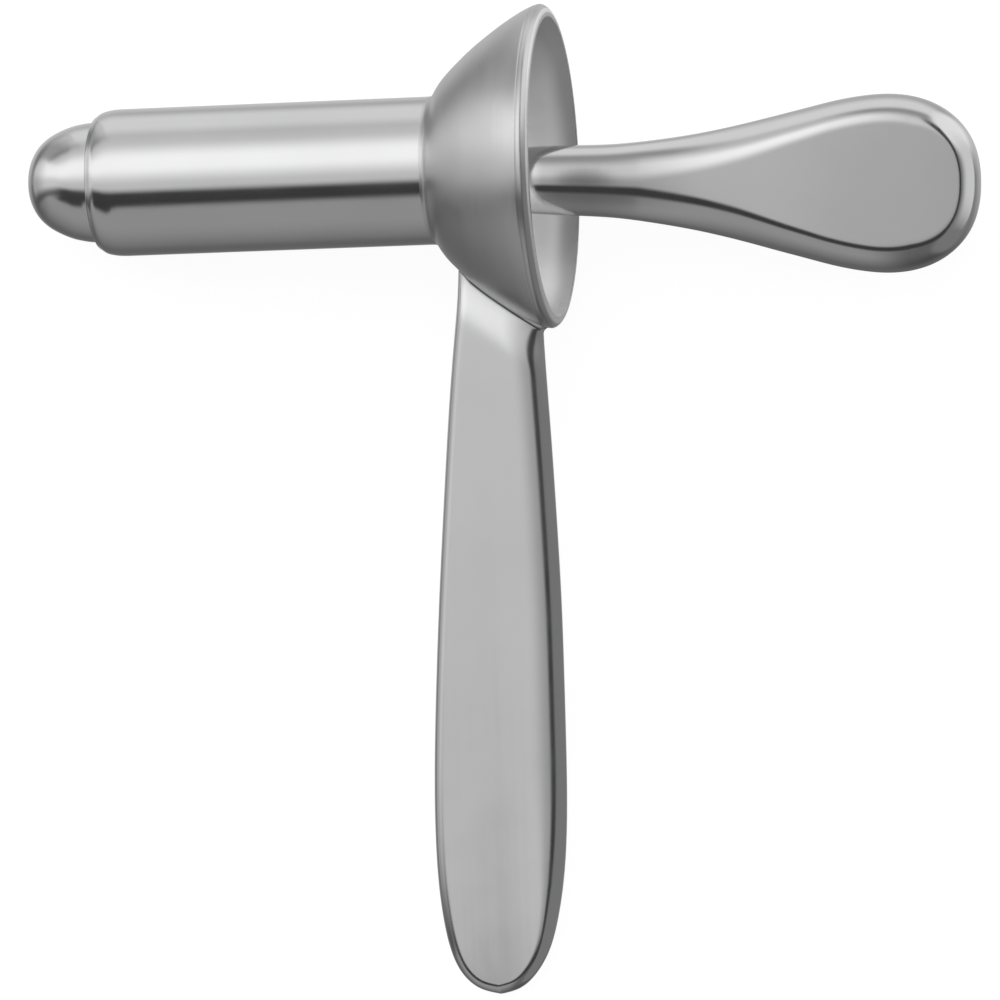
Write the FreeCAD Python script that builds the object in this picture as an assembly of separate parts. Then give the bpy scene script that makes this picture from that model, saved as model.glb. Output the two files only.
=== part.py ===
# Anoscope lying on its side, with its obturator in place.
# Everything is first drawn about the tube (X = tube axis, towards the mouth
# of the funnel; -Y = towards the handle's end; X = 0 is the rim's inner edge),
# then laid down: on the tube's tip, the funnel's rim and the handle's back.
# Millimetres.
import FreeCAD, Part
import math
import os

V = FreeCAD.Vector

# ---------------------------------------------------------------- dimensions
# tube
tube_r = 11.11            # outside radius, 7/8 in tube
bore_r = 10.30            # 0.8 mm wall
lip_r = 9.60              # rolled-in lip at the distal end
tip_x = -69.85            # most distal point of the lip
tube_round_x = -65.8      # the tube is a true cylinder from here on
lip_back_x = -68.65       # back of the rolled lip, where the bore starts
seam_x = -17.85           # tube meets the back of the funnel
socket_r = 10.80          # the tube's end is stepped down inside the funnel

# funnel
rim_r_out = 24.35         # largest radius of the rim
rim_r_in = 22.42          # inner edge of the rim
rim_land_r = 22.85        # flat land between inner edge and rounded lip
bevel_x = -1.25           # where the rounded lip starts
cup_wall = 1.45
cup = [                   # outside of the cup, x and radius
    (-17.85, 11.11), (-17.60, 11.52), (-17.30, 12.03), (-16.95, 12.58),
    (-16.50, 13.21), (-16.00, 13.83), (-15.00, 14.88), (-13.00, 16.74),
    (-11.00, 18.42), (-9.00, 19.90), (-7.00, 21.28), (-5.00, 22.53),
    (-3.00, 23.60), (-1.25, 24.35)]

# handle
handle_t = 5.0            # thickness between the two flat faces
handle_edge_r = 2.0       # rounding of its long edges
handle_left = [           # distal edge, from the funnel to the end
    (-14.90, -11.0), (-15.20, -15.6), (-15.50, -19.6), (-15.98, -23.6),
    (-16.79, -30.0), (-17.77, -39.0), (-18.64, -48.0), (-19.48, -57.1),
    (-20.26, -66.1), (-20.96, -75.2), (-21.57, -84.3), (-22.02, -93.4),
    (-22.15, -100.5), (-22.00, -107.0), (-21.50, -112.5), (-20.60, -117.3),
    (-19.10, -120.9), (-16.40, -123.5), (-13.00, -124.5)]
handle_right = [          # proximal edge, from the end back to the funnel
    (-13.00, -124.5), (-10.00, -123.6), (-7.60, -121.5), (-5.60, -118.3),
    (-3.95, -113.2), (-2.85, -107.4), (-2.20, -101.5), (-1.80, -93.8),
    (-1.62, -84.7), (-1.52, -75.7), (-1.48, -66.6), (-1.60, -57.6),
    (-1.82, -48.5), (-2.10, -39.5), (-2.44, -30.5), (-2.58, -25.5),
    (-2.65, -19.0)]
root_y = -33.0            # end of the root, start of the free blade
braze_w = 1.3             # width of the silver braze round the root

# obturator, drawn on its own axis (s along the axis, 0 near the rim)
apex_s = -81.39
nose = [                  # distance from the apex, radius
    (0.00, 0.00), (0.31, 2.45), (0.78, 3.79), (1.66, 5.27), (2.61, 6.27),
    (3.51, 6.96), (4.49, 7.52), (5.37, 7.94), (6.30, 8.31), (7.23, 8.61),
    (8.11, 8.80), (9.04, 8.96), (10.06, 9.06), (11.34, 9.12), (12.46, 9.14)]
shoulder_s = -67.83       # shoulder of the plug, just behind the tube's lip
guide_r = 9.75            # shoulder and short guide band that runs in the bore
band_end_s = -65.45       # end of the band, start of the taper behind it
guide_end_s = -58.0       # back of the plug
guide_end_r = 8.20
recess_r = 6.60           # recess in the plug's back that holds the plate
back_plate_t = 3.0
stem_r = 2.75
spigot_r = 2.4            # stem's end, turning in the back plate
turn_gap = 0.02           # running clearance of that spigot
neck_s = -14.36           # where the paddle's neck begins
paddle_t = 10.2           # thickness of the paddle
paddle_edge = [           # s, width of its rounded border
    (12.0, 5.95), (16.0, 5.80), (20.0, 5.60), (25.0, 5.30), (32.0, 4.90),
    (38.0, 4.60), (46.0, 4.50), (55.0, 4.70), (63.0, 4.90)]
paddle = [                # s, half width of the paddle
    (-14.36, 4.13), (-10.38, 4.54), (-5.41, 5.01), (-0.42, 5.27),
    (2.68, 5.37), (6.97, 5.56), (11.18, 5.99), (15.39, 6.58), (19.60, 7.29),
    (23.82, 8.17), (28.04, 9.19), (32.26, 10.30), (36.50, 11.41),
    (40.63, 12.47), (44.77, 13.23), (48.82, 13.50), (53.17, 12.92),
    (56.51, 11.55), (59.15, 9.52), (60.98, 7.28), (62.09, 5.09),
    (62.65, 3.11), (62.89, 1.58)]
paddle_end_s = 62.94
sag = [                   # s, how far the grip bends away from the stem's line
    (-14.4, 0.0), (-9.0, 0.0), (-6.0, -0.105), (-3.0, -0.45), (0.0, -1.005),
    (5.0, -2.03), (8.7, -2.733), (10.5, -3.026), (14.0, -3.451),
    (17.7, -3.745), (21.3, -3.912), (30.0, -4.203), (40.0, -4.623),
    (48.0, -5.063), (56.0, -5.571), (63.0, -6.082)]
sag_side = 0.0684         # and sideways, as part of the sag
stem_socket = 9.0         # depth of the stem in the neck

# the obturator lies loose in the bore: its plug is held near the lip and its
# stem sinks towards the table until it rests by the throat of the tube
obt_y0, obt_slope_y = -2.634, -0.0402
obt_z0, obt_slope_z = -9.410, -0.1375

# how the instrument lies: unit normal of the table in the tube's frame,
# and the direction that becomes +X on the table
table_n = (0.19756, 0.15179, 0.96847)
right_dir = (0.98377052, -0.04023749, -0.17486141)


# ------------------------------------------------------------------- helpers
def spline(points):
    c = Part.BSplineCurve()
    c.interpolate([V(*p) for p in points])
    return c.toShape()


def line(a, b):
    return Part.LineSegment(V(*a), V(*b)).toShape()


def turned(edges, base=V(0, 0, 0), axis=V(1, 0, 0)):
    """Solid of revolution from a closed profile."""
    face = Part.Face(Part.Wire(edges))
    return face.revolve(base, axis, 360)


def one_solid(shape):
    if len(shape.Solids) != 1:
        raise ValueError("expected one solid, got %d" % len(shape.Solids))
    return shape.Solids[0]


def offset_profile(points, d):
    """Points of a polyline moved sideways by d, towards the axis side."""
    out = []
    for i, (x, r) in enumerate(points):
        a = points[max(i - 1, 0)]
        b = points[min(i + 1, len(points) - 1)]
        tx, tr = b[0] - a[0], b[1] - a[1]
        n = math.hypot(tx, tr)
        out.append((x + d * tr / n, r - d * tx / n))
    return out


def P(x, r):
    return (x, r, 0.0)


# ---------------------------------------------------------------------- tube
# inner surface of the cup, which the tube's end is trimmed flush with
inner = offset_profile(cup, cup_wall)
inner[-1] = (0.0, rim_r_in)
# point of the inner surface at the tube's outside, and its slope there
k = [i for i in range(len(inner) - 1) if inner[i][1] <= tube_r + 0.6][-1]
(ax, ar), (bx, br) = inner[k], inner[k + 1]
slope = (bx - ax) / (br - ar)
throat_x = ax + (socket_r - ar) * slope
end_in_x = throat_x - (socket_r - bore_r) * 0.55

tube_edges = [
    spline([P(tube_round_x, tube_r), P(-67.0, 11.05), P(-68.0, 10.90),
            P(-68.9, 10.61), P(-69.5, 10.20), P(tip_x, 9.85),
            P(-69.80, 9.69), P(-69.55, lip_r)]),
    line(P(-69.55, lip_r), P(lip_back_x, lip_r)),
    line(P(lip_back_x, lip_r), P(lip_back_x + 0.25, bore_r)),
    line(P(lip_back_x + 0.25, bore_r), P(end_in_x, bore_r)),
    line(P(end_in_x, bore_r), P(throat_x, socket_r)),
    line(P(throat_x, socket_r), P(seam_x, socket_r)),
    line(P(seam_x, socket_r), P(seam_x, tube_r)),
    line(P(seam_x, tube_r), P(tube_round_x, tube_r))]
tube = one_solid(turned(tube_edges))

# -------------------------------------------------------------------- funnel
inner_pts = [(throat_x, socket_r)] + [p for p in inner if p[1] > tube_r + 0.4]
cup_edge = spline([P(*p) for p in cup])
funnel_edges = [
    cup_edge,
    Part.Arc(V(bevel_x, rim_r_out, 0), V(-0.42, 23.80, 0),
             V(0, rim_land_r, 0)).toShape(),
    line(P(0, rim_land_r), P(0, rim_r_in)),
    spline([P(*p) for p in reversed(inner_pts)]),
    line(P(*inner_pts[0]), P(seam_x, socket_r)),
    line(P(seam_x, socket_r), P(seam_x, tube_r))]
funnel = one_solid(turned(funnel_edges))

# the cup filled in, used to shape the root of the handle
cup_full = one_solid(turned([
    cup_edge.copy(),
    Part.Arc(V(bevel_x, rim_r_out, 0), V(-0.42, 23.80, 0),
             V(0, rim_land_r, 0)).toShape(),
    line(P(0, rim_land_r), P(0, 0)),
    line(P(0, 0), P(seam_x, 0)),
    line(P(seam_x, 0), P(seam_x, tube_r))]))

# -------------------------------------------------------------------- handle
h = handle_t / 2
outline = Part.Wire([
    spline([(x, y, -h) for x, y in handle_left]),
    spline([(x, y, -h) for x, y in handle_right]),
    line(handle_right[-1] + (-h,), handle_left[0] + (-h,))])
plate = Part.Face(outline).extrude(V(0, 0, handle_t))
long_edges = []
for e in plate.Edges:
    b = e.BoundBox
    if b.ZLength < 1e-4 and b.YMin < -60:
        long_edges.append(e)
plate = one_solid(plate.makeFillet(handle_edge_r, long_edges))
# the flats run on under the braze, with a witness line at root_y
root_box = Part.makeBox(60, 60, 60, V(-40, root_y, -30))
plate = one_solid(plate.common(root_box).fuse(plate.cut(root_box)))
handle = one_solid(plate.cut(cup_full))

# silver braze worked smooth round the root of the handle
joined = one_solid(plate.fuse(cup_full))
seam = []
for e in joined.Edges:
    on_both = True
    for f in (0.1, 0.5, 0.9):
        mid = Part.Vertex(e.valueAt(
            e.FirstParameter + f * (e.LastParameter - e.FirstParameter)))
        for body in (plate, cup_full):
            if min(fc.distToShape(mid)[0] for fc in body.Faces) > 1e-3:
                on_both = False
    if on_both:
        seam.append(e)
handle_braze = one_solid(
    joined.makeChamfer(braze_w, seam).cut(plate).cut(cup_full))

# ----------------------------------------------------------------- obturator
def on_axis(s, a=0.0, b=0.0):
    """Point of the obturator: s along its axis, a across, b towards the top."""
    o = V(0, obt_y0, obt_z0)
    return o + obt_u * s + obt_a * a + obt_b * b


obt_u = V(1, obt_slope_y, obt_slope_z)
obt_u.normalize()
obt_b = V(0, 0, 1) - obt_u * obt_u.z
obt_b.normalize()
obt_a = obt_b.cross(obt_u)
place = FreeCAD.Placement(FreeCAD.Matrix(
    obt_u.x, obt_a.x, obt_b.x, 0,
    obt_u.y, obt_a.y, obt_b.y, obt_y0,
    obt_u.z, obt_a.z, obt_b.z, obt_z0,
    0, 0, 0, 1))

plate_s = guide_end_s - back_plate_t - 0.4
pocket_s = plate_s - 1.5  # room for the end of the stem's spigot
pocket_r = 3.2
nose_pts = [(apex_s + d, r) for d, r in nose]
last_nose = (shoulder_s, nose_pts[-1][1])
tip = one_solid(turned([
    spline([P(*p) for p in nose_pts]),
    line(P(*nose_pts[-1]), P(*last_nose)),
    line(P(*last_nose), P(shoulder_s, guide_r - 0.1)),
    line(P(shoulder_s, guide_r - 0.1), P(shoulder_s + 0.1, guide_r)),
    line(P(shoulder_s + 0.1, guide_r), P(band_end_s, guide_r)),
    line(P(band_end_s, guide_r), P(guide_end_s, guide_end_r)),
    line(P(guide_end_s, guide_end_r), P(guide_end_s, recess_r)),
    line(P(guide_end_s, recess_r), P(plate_s, recess_r)),
    line(P(plate_s, recess_r), P(plate_s, pocket_r)),
    line(P(plate_s, pocket_r), P(pocket_s, pocket_r)),
    line(P(pocket_s, pocket_r), P(pocket_s, 0)),
    line(P(pocket_s, 0), P(apex_s, 0))]))

back_plate = one_solid(turned([
    line(P(plate_s, spigot_r + turn_gap), P(plate_s, recess_r)),
    line(P(plate_s, recess_r), P(plate_s + back_plate_t, recess_r)),
    line(P(plate_s + back_plate_t, recess_r),
         P(plate_s + back_plate_t, spigot_r + turn_gap)),
    line(P(plate_s + back_plate_t, spigot_r + turn_gap),
         P(plate_s, spigot_r + turn_gap))]))

# stem: spigot in the back plate, rod, and the end held in the neck
spigot_s = plate_s - 1.0
plate_end = plate_s + back_plate_t + 0.1
stem = one_solid(turned([
    line(P(spigot_s, 0), P(spigot_s, spigot_r - 0.3)),
    line(P(spigot_s, spigot_r - 0.3), P(spigot_s + 0.3, spigot_r)),
    line(P(spigot_s + 0.3, spigot_r), P(plate_end, spigot_r)),
    line(P(plate_end, spigot_r), P(plate_end, stem_r)),
    line(P(plate_end, stem_r), P(neck_s + stem_socket, stem_r)),
    line(P(neck_s + stem_socket, stem_r), P(neck_s + stem_socket, 0)),
    line(P(neck_s + stem_socket, 0), P(spigot_s, 0))]))


def between(table, s):
    """Value at s, straight between the rows of a table."""
    if s <= table[0][0]:
        return table[0][1]
    for (s0, v0), (s1, v1) in zip(table, table[1:]):
        if s <= s1:
            return v0 + (v1 - v0) * (s - s0) / (s1 - s0)
    return table[-1][1]


def paddle_section(s, w, m=8):
    """Closed section: flat in the middle, rounded borders, round neck."""
    # the neck is round and as thick as it is wide
    t = min(paddle_t / 2, w)
    border = between(paddle_edge, s)
    e = min(border, w)
    # sharper shoulders towards the flat once the paddle is wide
    f = max(0.0, min(1.0, (w - 5.3) / 4.0))
    f = f * f * (3 - 2 * f)
    if s > 45:
        f = 1.0
    p = 2.0 + 0.47 * f
    r = 0.5 + (1 / 1.2 - 0.5) * f
    if s > paddle_end_s - border:
        q = (paddle_end_s - s) / border
        t = t * max(0.0, 1 - (1 - q) ** 2.47) ** (1 / 1.2)
    # one quarter from the edge to the middle, closely, then m even steps
    fine = [(w, 0.0)]
    for k in range(1, 401):
        u = math.cos(math.pi / 2 * k / 400)
        fine.append((w - e + e * u, t * max(0.0, 1 - u ** p) ** r))
    fine.append((0.0, t))
    run = [0.0]
    for a, b in zip(fine, fine[1:]):
        run.append(run[-1] + math.hypot(b[0] - a[0], b[1] - a[1]))
    quarter = []
    j = 0
    for k in range(m + 1):
        want = run[-1] * k / m
        while j < len(run) - 2 and run[j + 1] < want:
            j += 1
        g = (want - run[j]) / max(1e-12, run[j + 1] - run[j])
        quarter.append((fine[j][0] + g * (fine[j + 1][0] - fine[j][0]),
                        fine[j][1] + g * (fine[j + 1][1] - fine[j][1])))
    pts = [(a, b) for a, b in quarter]
    pts += [(-a, b) for a, b in reversed(quarter[:-1])]
    pts += [(-a, -b) for a, b in quarter[1:]]
    pts += [(a, -b) for a, b in reversed(quarter[1:-1])]
    drop = between(sag, s)
    return [(s, a + sag_side * drop, b + drop) for a, b in pts]


sections = []
for s, w in paddle:
    c = Part.BSplineCurve()
    c.interpolate([V(*p) for p in paddle_section(s, w)], PeriodicFlag=True)
    sections.append(Part.Wire([c.toShape()]))
grip = Part.makeLoft(sections, True, False)
print("paddle loft", grip.isValid(), len(grip.Solids), round(grip.Volume, 1))
grip = one_solid(grip)
socket = Part.makeCylinder(stem_r, stem_socket, V(neck_s, 0, 0), V(1, 0, 0))
obt_handle = one_solid(grip.cut(socket))

# ------------------------------------------------------------------ lay down
n = V(*table_n)
n.normalize()
rx = V(*right_dir)
rx = rx - n * rx.dot(n)
rx.normalize()
ry = n.cross(rx)
lay = FreeCAD.Placement(FreeCAD.Matrix(
    rx.x, rx.y, rx.z, 0,
    ry.x, ry.y, ry.z, 0,
    n.x, n.y, n.z, 0,
    0, 0, 0, 1))

nodes = {
    "tube": (tube, False),
    "funnel": (funnel, False),
    "handle": (handle, False),
    "handle_braze": (handle_braze, False),
    "obturator_tip": (tip, True),
    "obturator_back_plate": (back_plate, True),
    "obturator_stem": (stem, True),
    "obturator_handle": (obt_handle, True)}

placed = {}
for name, (shape, askew) in nodes.items():
    m = lay.toMatrix()
    if askew:
        m = m.multiply(place.toMatrix())
    placed[name] = shape.transformed(m, copy=True)

box = Part.Compound(list(placed.values())).optimalBoundingBox(False, False)
shift = V(-(box.XMin + box.XMax) / 2, -(box.YMin + box.YMax) / 2, -box.ZMin)
os.makedirs("parts", exist_ok=True)
move = FreeCAD.Matrix()
move.move(shift)
for name, shape in placed.items():
    shape = shape.transformed(move, copy=True)
    if not shape.isValid():
        raise ValueError(name + " is not valid")
    shape.exportStep("parts/" + name + ".step")
    print(name, round(shape.Volume, 1), "mm3")
print("box", box.XLength, box.YLength, box.ZLength)
print("shift", shift.x, shift.y, shift.z)
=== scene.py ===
import math

import bpy
import numpy as np
from mathutils import Matrix, Vector


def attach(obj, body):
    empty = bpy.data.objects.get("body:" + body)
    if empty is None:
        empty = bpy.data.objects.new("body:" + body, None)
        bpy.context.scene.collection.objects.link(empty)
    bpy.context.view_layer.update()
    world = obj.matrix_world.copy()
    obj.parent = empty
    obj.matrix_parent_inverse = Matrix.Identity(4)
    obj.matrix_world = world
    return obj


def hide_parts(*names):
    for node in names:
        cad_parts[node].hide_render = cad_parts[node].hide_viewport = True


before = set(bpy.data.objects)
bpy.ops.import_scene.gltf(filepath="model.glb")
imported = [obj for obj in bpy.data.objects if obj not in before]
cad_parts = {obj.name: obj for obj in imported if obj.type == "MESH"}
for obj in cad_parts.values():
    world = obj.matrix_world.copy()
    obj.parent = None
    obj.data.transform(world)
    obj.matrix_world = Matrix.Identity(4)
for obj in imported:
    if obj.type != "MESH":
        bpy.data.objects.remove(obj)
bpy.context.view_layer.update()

# ------------------------------------------------------------------ the frame
# Shapes are drawn about the tube (X = tube axis towards the funnel's mouth,
# -Y towards the handle's end, X = 0 at the rim's inner edge), in millimetres,
# and then laid down as the part lies on the table.
LAY = np.array([
    [0.9802120890744151, -0.04311370824851914, -0.19319800359587672],
    [0.01242878134847417, 0.9874720771248457, -0.15730359910992067],
    [0.19755957538566093, 0.15178967375880478, 0.9684679184741398]])
SHIFT = np.array([7.1309211819908995, 49.43641135639773, 24.119224607968558])
OBT_O = np.array([0.0, -2.634, -9.41])
OBT_U = np.array([0.9898941382499301, -0.03979374435764719,
                  -0.1361104440093654])
OBT_B = np.array([0.13600059716814875, -0.005467224006159579,
                  0.990693669623246])
OBT_A = np.cross(OBT_B, OBT_U)


def lay(points):
    return (np.asarray(points, float) @ LAY.T + SHIFT) * 0.001


def on_tube(points):
    return lay(points)


def on_obturator(points):
    p = np.asarray(points, float)
    return lay(OBT_O + p[:, :1] * OBT_U + p[:, 1:2] * OBT_A
               + p[:, 2:3] * OBT_B)


# --------------------------------------------------------------------- curves
def spline(points, step=0.2, count=None):
    """Natural cubic through the points, sampled about every step."""
    p = np.asarray(points, float)
    n = len(p)
    t = np.r_[0, np.cumsum(np.hypot(*(p[1:] - p[:-1]).T))]
    h = np.diff(t)
    m = np.zeros((n, n))
    rhs = np.zeros((n, p.shape[1]))
    m[0, 0] = m[-1, -1] = 1
    for i in range(1, n - 1):
        m[i, i - 1], m[i, i], m[i, i + 1] = h[i - 1], 2 * (h[i - 1] + h[i]), h[i]
        rhs[i] = 6 * ((p[i + 1] - p[i]) / h[i] - (p[i] - p[i - 1]) / h[i - 1])
    k = np.linalg.solve(m, rhs)
    count = count or max(2, int(round(t[-1] / step)) + 1)
    s = np.linspace(0, t[-1], count)
    i = np.clip(np.searchsorted(t, s, side="right") - 1, 0, n - 2)
    a, b = (t[i + 1] - s)[:, None], (s - t[i])[:, None]
    hh = h[i][:, None]
    return (k[i] * a ** 3 + k[i + 1] * b ** 3) / (6 * hh) + \
        (p[i] / hh - k[i] * hh / 6) * a + (p[i + 1] / hh - k[i + 1] * hh / 6) * b


def straight(a, b, step=1.0):
    a, b = np.asarray(a, float), np.asarray(b, float)
    n = max(2, int(math.ceil(np.linalg.norm(b - a) / step)) + 1)
    return a + (b - a) * np.linspace(0, 1, n)[:, None]


def arc3(a, m, b, n=14):
    """Circular arc through three points."""
    (ax, ay), (bx, by), (cx, cy) = a, m, b
    d = 2 * (ax * (by - cy) + bx * (cy - ay) + cx * (ay - by))
    ux = ((ax**2 + ay**2) * (by - cy) + (bx**2 + by**2) * (cy - ay)
          + (cx**2 + cy**2) * (ay - by)) / d
    uy = ((ax**2 + ay**2) * (cx - bx) + (bx**2 + by**2) * (ax - cx)
          + (cx**2 + cy**2) * (bx - ax)) / d
    t0 = math.atan2(ay - uy, ax - ux)
    t1 = math.atan2(cy - uy, cx - ux)
    while t1 - t0 > math.pi:
        t1 -= 2 * math.pi
    while t1 - t0 < -math.pi:
        t1 += 2 * math.pi
    r = math.hypot(ax - ux, ay - uy)
    t = np.linspace(t0, t1, n)
    return np.c_[ux + r * np.cos(t), uy + r * np.sin(t)]


def chain(*runs):
    """Joins runs of points, dropping doubled joints."""
    out = [np.asarray(runs[0], float)]
    for r in runs[1:]:
        r = np.asarray(r, float)
        if np.hypot(*(r[0] - out[-1][-1])) < 1e-5:
            r = r[1:]
        out.append(r)
    return np.vstack(out)


def ease(profile, corners, radius, n=5):
    """Rounds the named corner points of a profile with a small arc."""
    p = [np.array(q) for q in profile]
    out = []
    for i, q in enumerate(p):
        r = None
        for c, rad in zip(corners, radius):
            if np.hypot(*(q - np.array(c))) < 1e-4:
                r = rad
        if r is None or i in (0, len(p) - 1):
            out.append(q)
            continue
        a, b = p[i - 1] - q, p[i + 1] - q
        la, lb = np.hypot(*a), np.hypot(*b)
        cut = min(r, la * 0.9, lb * 0.9)
        s, e = q + a / la * cut, q + b / lb * cut
        for t in np.linspace(0, 1, n):
            out.append((1 - t) ** 2 * s + 2 * t * (1 - t) * q + t * t * e)
    return np.array(out)


# --------------------------------------------------------------------- meshes
def make(name, verts, faces, uvs, material, sharp=38.0, cleanup=0.0):
    """Object from row-frame vertices, faces and one UV per vertex (mm/10)."""
    me = bpy.data.meshes.new(name)
    me.from_pydata([tuple(v) for v in verts], [], [tuple(f) for f in faces])
    layer = me.uv_layers.new(name="UVMap")
    uv = np.asarray(uvs, float)
    vi = np.empty(len(me.loops), int)
    me.loops.foreach_get("vertex_index", vi)
    flat = uv[vi]
    # no face runs backwards over the seam of a turned surface
    starts = np.empty(len(me.polygons), int)
    totals = np.empty(len(me.polygons), int)
    me.polygons.foreach_get("loop_start", starts)
    me.polygons.foreach_get("loop_total", totals)
    seam = uv[:, 0].max() - uv[:, 0].min()
    if name in TURNED:
        for s, n in zip(starts, totals):
            u = flat[s:s + n, 0]
            if u.max() - u.min() > seam * 0.5:
                flat[s:s + n, 0] = np.where(u < seam * 0.5, u + TURNED[name], u)
    layer.data.foreach_set("uv", flat.ravel())
    me.polygons.foreach_set("use_smooth", [True] * len(me.polygons))
    me.set_sharp_from_angle(angle=math.radians(sharp))
    if cleanup:
        import bmesh
        bm = bmesh.new()
        bm.from_mesh(me)
        bmesh.ops.remove_doubles(bm, verts=bm.verts, dist=cleanup)
        bmesh.ops.dissolve_degenerate(bm, edges=bm.edges, dist=cleanup * 0.5)
        bm.to_mesh(me)
        bm.free()
        me.set_sharp_from_angle(angle=math.radians(sharp))
    me.materials.append(material)
    me.validate()
    ob = bpy.data.objects.new(name, me)
    bpy.context.collection.objects.link(ob)
    return ob


TURNED = {}


def turn(name, profile, place, material, segs=288, sharp=38.0, u_radius=10.0):
    """Closed profile (x, r) turned about its axis. r = 0 ends make poles."""
    p = np.asarray(profile, float)
    closed = p[0, 1] > 1e-6 or p[-1, 1] > 1e-6
    run = np.r_[0, np.cumsum(np.hypot(*(p[1:] - p[:-1]).T))]
    rings = []
    verts, uvs = [], []
    # the seam lies underneath
    ang = -math.pi / 2 - math.pi + np.arange(segs) / segs * 2 * math.pi
    width = 2 * math.pi * u_radius / 10
    for (x, r), v in zip(p, run):
        if r < 1e-6:
            rings.append([len(verts)])
            verts.append((x, 0, 0))
            uvs.append((width / 2, v / 10))
            continue
        rings.append(list(range(len(verts), len(verts) + segs)))
        for k, t in enumerate(ang):
            verts.append((x, r * math.cos(t), r * math.sin(t)))
            uvs.append((width * k / segs, v / 10))
    faces = []
    pairs = list(zip(rings, rings[1:]))
    if closed:
        pairs.append((rings[-1], rings[0]))
    for a, b in pairs:
        for k in range(segs):
            j = (k + 1) % segs
            if len(a) == 1 and len(b) == 1:
                continue
            if len(a) == 1:
                faces.append((a[0], b[j], b[k]))
            elif len(b) == 1:
                faces.append((a[k], a[j], b[0]))
            else:
                faces.append((a[k], a[j], b[j], b[k]))
    # outward: area of the profile tells the winding
    q = p if closed else np.vstack([p, [p[0]]])
    x, y = q[:, 0], q[:, 1]
    area = 0.5 * np.sum(x * np.roll(y, -1) - np.roll(x, -1) * y)
    if area > 0:
        faces = [tuple(reversed(f)) for f in faces]
    TURNED[name] = width
    return make(name, place(verts), faces, uvs, material, sharp)


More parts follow.
